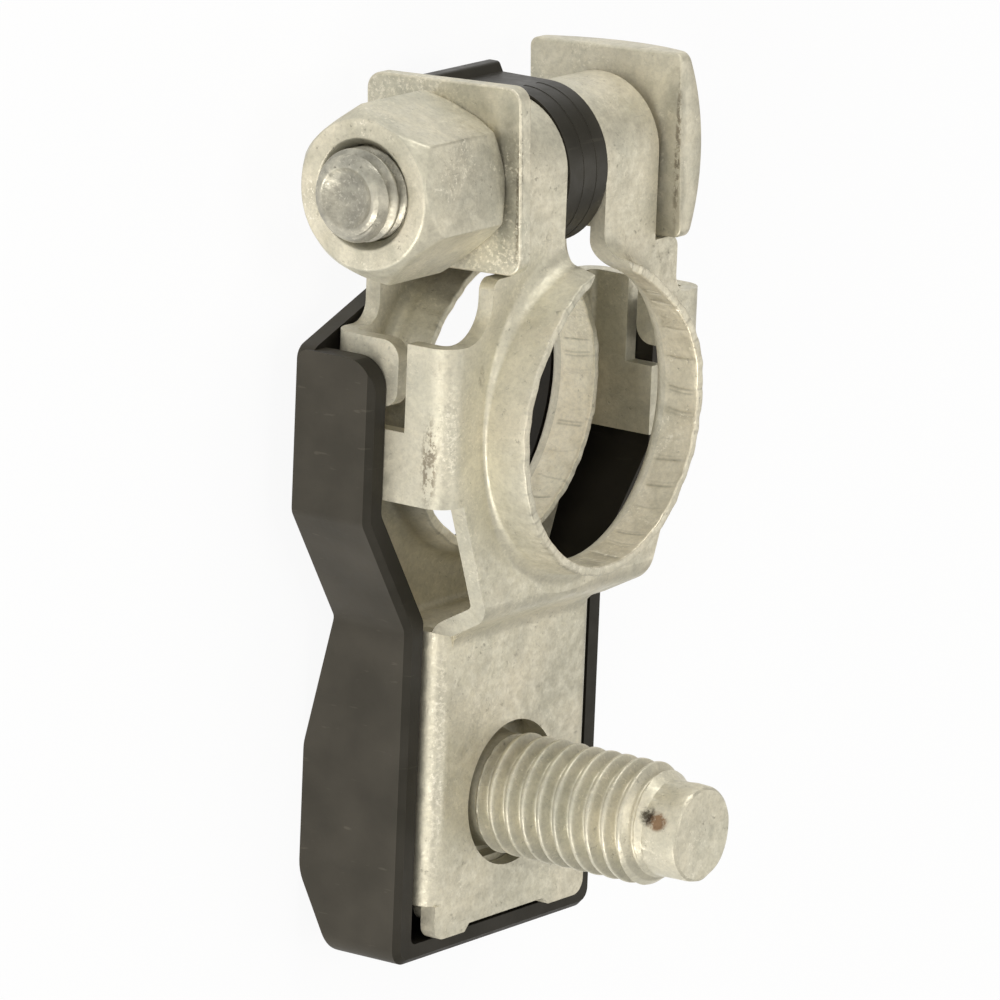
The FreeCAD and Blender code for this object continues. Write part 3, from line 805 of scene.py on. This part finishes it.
def moulding(name, dark, light, rough, scale, bump=0.25, shine=0.3):
    """Black plastic or rubber with a fine even texture, a few pale scuffs and a warm shine."""
    mat, tree, bsdf = shader(name)
    base = ramp(tree, grain(tree, 300.0, 4.0), (0.35, dark), (0.7, light))
    scuff = grain(tree, (120.0, 2600.0, 500.0), 2.0, (0.2, 0.9, 0.4))
    base = blend(tree, "MULTIPLY", 1.0, base, ramp(tree, scuff, (0.68, 1.0), (0.74, 1.5)))
    tree.links.new(base, bsdf.inputs["Base Color"])
    bsdf.inputs["Specular IOR Level"].default_value = shine
    bsdf.inputs["Specular Tint"].default_value = (1.0, 0.95, 0.84, 1)
    gloss = ramp(tree, grain(tree, 1200.0, 3.0), (0.3, rough - 0.06), (0.7, rough + 0.06))
    tree.links.new(gloss, bsdf.inputs["Roughness"])
    relief = add(tree, "ShaderNodeBump", in_Strength=bump, in_Distance=0.04 * mm)
    tree.links.new(grain(tree, scale, 3.0), relief.inputs["Height"])
    tree.links.new(relief.outputs["Normal"], bsdf.inputs["Normal"])
    return mat


def add_camera():
    """Camera at the photograph's viewing angle, with a very long lens."""
    place = Vector((-505.86, 141.374, 353.171)) * mm
    right = Vector((0.5859, 0.0399, 0.8094)).normalized()
    back = Vector((-0.7933, 0.2322, 0.5628)).normalized()
    up = back.cross(right).normalized()
    right = up.cross(back)
    cam = bpy.data.cameras.new("camera")
    cam.lens = 360.0
    cam.sensor_width = 36.0
    cam.clip_start = 0.05
    cam.clip_end = 20.0
    obj = bpy.data.objects.new("camera", cam)
    obj.matrix_world = Matrix.Translation(place) @ Matrix((right, up, back)).transposed().to_4x4()
    bpy.context.collection.objects.link(obj)
    bpy.context.scene.camera = obj


def add_lamp(name, place, size, power, colour):
    """Round soft lamp, in metres and watts, that points at the origin."""
    light = bpy.data.lights.new(name, "AREA")
    light.shape = "DISK"
    light.size = size
    light.energy = power
    light.color = colour
    obj = bpy.data.objects.new(name, light)
    obj.location = place
    obj.rotation_euler = Vector(place).to_track_quat("Z", "Y").to_euler()
    bpy.context.collection.objects.link(obj)


def add_stage():
    """Pale floor under the part, which shows white but keeps its shadow, and a plain pale world."""
    z = floor_z * mm
    half = 12.0
    glow_share = 0.92
    world_colour, world_strength = (0.76, 0.75, 0.73, 1), 0.42
    corners = [(-half, -half, z), (half, -half, z), (half, half, z), (-half, half, z)]
    mesh = bpy.data.meshes.new("floor")
    mesh.from_pydata(corners, [], [(0, 1, 2, 3)])
    floor = bpy.data.objects.new("floor", mesh)
    bpy.context.collection.objects.link(floor)
    mat = bpy.data.materials.new("floor_white")
    mat.use_nodes = True
    tree = mat.node_tree
    tree.nodes.clear()
    out = tree.nodes.new("ShaderNodeOutputMaterial")
    mix = tree.nodes.new("ShaderNodeMixShader")
    diffuse = add(tree, "ShaderNodeBsdfDiffuse", in_Color=(0.9, 0.9, 0.9, 1))
    glow = add(tree, "ShaderNodeEmission", in_Strength=1.0)
    path = tree.nodes.new("ShaderNodeLightPath")
    seen = add(tree, "ShaderNodeMath", operation="MAXIMUM")
    tree.links.new(path.outputs["Is Camera Ray"], seen.inputs[0])
    tree.links.new(path.outputs["Is Glossy Ray"], seen.inputs[1])
    share = add(tree, "ShaderNodeMath", operation="MULTIPLY", in_1=glow_share)
    tree.links.new(seen.outputs[0], share.inputs[0])
    tree.links.new(share.outputs[0], mix.inputs["Fac"])
    tree.links.new(diffuse.outputs[0], mix.inputs[1])
    tree.links.new(glow.outputs[0], mix.inputs[2])
    tree.links.new(mix.outputs[0], out.inputs["Surface"])
    mesh.materials.append(mat)
    world = bpy.data.worlds.new("studio")
    bpy.context.scene.world = world
    world.use_nodes = True
    background = world.node_tree.nodes["Background"]
    background.inputs["Color"].default_value = world_colour
    background.inputs["Strength"].default_value = world_strength


# Worn places as (centre, size) of an ellipsoid in millimetres, then painted glints, painted shade lines, and
# painted shadows and stains with a colour
scrapes = [((-14.0, -1.2, -1.35), (1.2, 3.6, 0.75)), ((-13.2, 4.9, -1.2), (1.0, 1.1, 0.6)),
           ((-10.6, 4.0, 0.6), (0.7, 1.2, 0.9)), ((4.6, 9.6, 1.2), (1.6, 0.8, 1.2)),
           ((8.2, 7.0, 2.3), (1.2, 1.2, 1.0))]
# Painted glints along the sheet's left wall and along the plate's left bend.
bright = [((-13.3, 0.4, -0.3), (0.9, 4.8, 0.7)), ((-7.9, -22.0, -4.1), (0.7, 12.0, 0.7))]
# Painted highlights on the washer's face, above and below the bolt.
pale = [((-9.2, 21.0, -8.0), (1.2, 4.0, 6.5)), ((-9.2, 10.8, -0.5), (0.8, 2.2, 4.0))]
# Painted shade lines along the +Z edges of the washer's face and of the bolt head's inner face.
rim_shade_lines = [((-9.2, 15.9, 1.2), (0.6, 7.5, 0.3)), ((8.3, 15.9, 1.0), (0.5, 7.0, 0.3))]
# Painted shadow and shade on the washer beside the nut, on the bolt head's inner face and on the nut's facet
# turned towards +Z, then two stains on the stud's point.
shadows_and_stains = [((-9.2, 16.5, 0.3), (0.8, 6.5, 1.6), 0.64), ((8.45, 14.5, 0.6), (0.8, 7.5, 1.5), 0.68),
          ((-12.2, 17.0, 0.6), (4.5, 5.0, 2.2), 0.74),
          ((-2.95, -24.2, 8.75), (0.9, 0.85, 0.6), (0.14, 0.13, 0.11)),
          ((-2.9, -24.45, 9.45), (0.9, 0.75, 0.95), (0.40, 0.27, 0.19))]

# Pale colour of worn edges, which also paints light onto the front collar's bore.
edge_and_bore_light = (0.86, 0.79, 0.62)
sheet_metal = plating("sheet_metal", (0.650, 0.605, 0.478), (0.760, 0.705, 0.555), scraped_and_shaded=scrapes,
                      painted_glint_places=bright)
# Worn edges of the sheet with painted glints; on the front collar's bore it is painted light.
sheet_edge_and_bore_light = plating("sheet_edge_and_bore_light", (0.70, 0.64, 0.49), edge_and_bore_light, (0.34, 0.52), metal=0.65, bump=0.9,
                     glint=0.9)
# Paler still, for the back collar's bore: painted light.
painted_light_bore = plating("painted_light_bore", (0.91, 0.83, 0.64), (0.98, 0.90, 0.70), (0.40, 0.58), metal=0.5,
                      bump=0.7, glint=0.9)
fixing_metal = plating("fixing_metal", (0.610, 0.575, 0.455), (0.730, 0.680, 0.535), (0.40, 0.58), glint=0.6,
                       scraped_and_shaded=rim_shade_lines, painted_glint_places=pale, shaded_and_stained=shadows_and_stains)
fixing_edge = plating("fixing_edge", (0.66, 0.61, 0.47), edge_and_bore_light, (0.36, 0.55), bump=0.9, glint=1.0)
worn_end = plating("worn_end", (0.36, 0.34, 0.28), (0.62, 0.58, 0.47), (0.30, 0.55), metal=0.7, bump=1.0,
                   glint=0.45, pitted=0.7)
plastic = moulding("plastic", (0.038, 0.034, 0.026), (0.056, 0.050, 0.039), 0.52, 2600.0)
rubber = moulding("rubber", (0.021, 0.019, 0.014), (0.034, 0.031, 0.024), 0.42, 1600.0)
# Darker plastic for faces turned towards +Z and darkest for the cover's inner faces: painted shade.
plastic_painted_top_shade = moulding("plastic_painted_top_shade", (0.023, 0.021, 0.016), (0.034, 0.031, 0.025), 0.55, 2600.0, shine=0.2)
plastic_painted_inner_shade = moulding("plastic_painted_inner_shade", (0.012, 0.011, 0.009), (0.018, 0.016, 0.013), 0.45, 2600.0)

give(sheet(), "clamp", "plated_sheet", "clamp_body", sheet_metal, sheet_edge_and_bore_light)
front_collar = collar("front_collar", 0.0, front_shape, 3, ((64, 14), (40, 10)))
give(front_collar, "clamp", "plated_sheet", "clamp_body", sheet_metal, sheet_edge_and_bore_light)
# The back collar's bore is painted light with the paler material.
back_collar = collar("back_collar", back_face_z + sheet_t, back_shape, 8)
give(back_collar, "clamp", "plated_sheet", "clamp_body", sheet_metal, painted_light_bore)
give(stud(), "clamp", "plated_fastener", "terminal_stud", fixing_metal)
give(bolt(), "clamp", "plated_fastener", "clamp_bolt", fixing_metal, worn_end)
give(nut(), "nut", "plated_fastener", "clamp_nut", fixing_metal, fixing_edge)
washer = worn_edges(cad_copy("square_washer"), washer_edge_w)
give(washer, "washer", "plated_fastener", "square_washer", fixing_metal, fixing_edge)
give(spacer(), "clamp", "black_rubber", "ear_spacer", rubber, rubber)
give(cover(), "clamp", "black_plastic", "insulator_cover", plastic, plastic, plastic_painted_top_shade, plastic_painted_inner_shade)

add_camera()
add_stage()
white, warm = (1.0, 0.99, 0.96), (1.0, 0.98, 0.94)
add_lamp("above", (0.1, 1.2, 0.4), 0.7, 6.5, white)
add_lamp("front", (0.0, 0.1, 1.3), 0.7, 3.7, white)
add_lamp("low_left", (-0.9, -0.7, 0.3), 0.6, 8.5, warm)
add_lamp("beside_camera", (-0.95, 0.35, 0.65), 0.6, 2.5, white)
add_lamp("right", (0.9, -0.2, 0.8), 0.8, 2.0, (1.0, 0.99, 0.97))
bpy.context.scene.view_settings.view_transform = "Standard"
